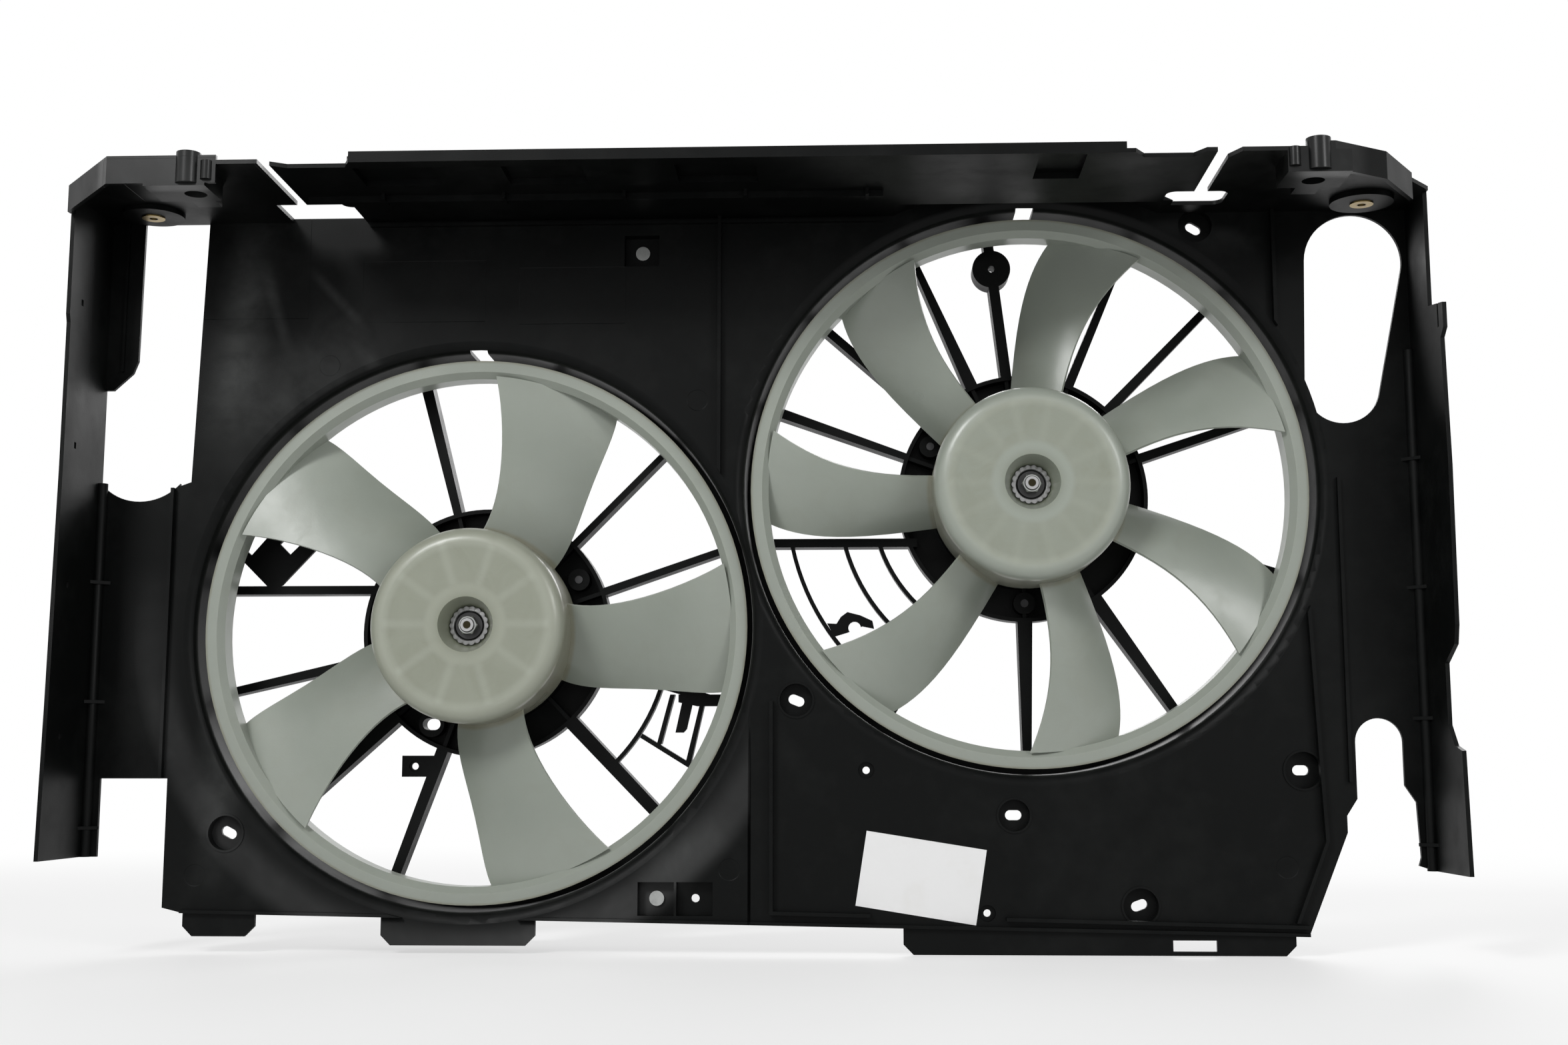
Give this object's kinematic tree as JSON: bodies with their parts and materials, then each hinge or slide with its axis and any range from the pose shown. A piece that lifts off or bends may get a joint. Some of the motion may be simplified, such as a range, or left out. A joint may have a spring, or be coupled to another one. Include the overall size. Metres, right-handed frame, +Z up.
{
  "type": "radiator fan shroud",
  "caption": "Radiator fan shroud moulding with side wings, a top deck and ringed cooling fans of unequal size driven by brush motors.",
  "frame": {"origin": "middle of the width and depth, level with the lowest bottom tab", "axes": "+X to the right and +Z up when the radiator side is faced, +Y towards the engine"},
  "size_m": [0.823, 0.196, 0.4777],
  "materials": {
    "black_moulding": "fine grained, satin",
    "fan_moulding": "smooth natural nylon",
    "brass": "machined",
    "label_film": "blank, satin",
    "black_can": "black coated steel",
    "ferrite": "matt",
    "copper": "bare copper",
    "carbon": "matt",
    "plug_moulding": "satin",
    "bright_steel": "zinc plated"
  },
  "bodies": {
    "shroud": {"blank_label": "label_film", "left_brush_holder": "plug_moulding", "left_brushes": "carbon", "left_fan_duct": "black_moulding", "left_front_bearing": "bright_steel", "left_magnets": "ferrite", "left_motor_can": "black_can", "left_motor_cap": "black_can", "left_motor_carrier": "black_moulding", "left_motor_flange": "black_can", "left_motor_plug": "plug_moulding", "left_motor_screws": "bright_steel", "left_plug_pins": "copper", "left_rear_bearing": "bright_steel", "left_side_wing": "black_moulding", "left_threaded_insert": "brass", "left_top_bracket": "black_moulding", "panel_rivets": "bright_steel", "right_brush_holder": "plug_moulding", "right_brushes": "carbon", "right_fan_duct": "black_moulding", "right_front_bearing": "bright_steel", "right_magnets": "ferrite", "right_motor_can": "black_can", "right_motor_cap": "black_can", "right_motor_carrier": "black_moulding", "right_motor_flange": "black_can", "right_motor_plug": "plug_moulding", "right_motor_screws": "bright_steel", "right_plug_pins": "copper", "right_rear_bearing": "bright_steel", "right_side_wing": "black_moulding", "right_threaded_insert": "brass", "right_top_bracket": "black_moulding", "shroud_panel": "black_moulding", "top_deck": "black_moulding"},
    "left_rotor": {"left_fan": "fan_moulding", "left_fan_bush": "bright_steel", "left_fan_washer": "bright_steel", "left_fan_nut": "bright_steel", "left_motor_shaft": "bright_steel", "left_armature_core": "bright_steel", "left_windings": "copper", "left_commutator": "copper"},
    "right_rotor": {"right_fan": "fan_moulding", "right_fan_bush": "bright_steel", "right_fan_washer": "bright_steel", "right_fan_nut": "bright_steel", "right_motor_shaft": "bright_steel", "right_armature_core": "bright_steel", "right_windings": "copper", "right_commutator": "copper"}
  },
  "joints": [
    {"name": "left_fan_spin", "type": "hinge", "parent": "shroud", "child": "left_rotor", "pos_m": [-0.172, 0.041, 0.1975], "axis": [0, 1, 0], "continuous": true},
    {"name": "right_fan_spin", "type": "hinge", "parent": "shroud", "child": "right_rotor", "pos_m": [0.173, 0.041, 0.2832], "axis": [0, 1, 0], "continuous": true}
  ]
}
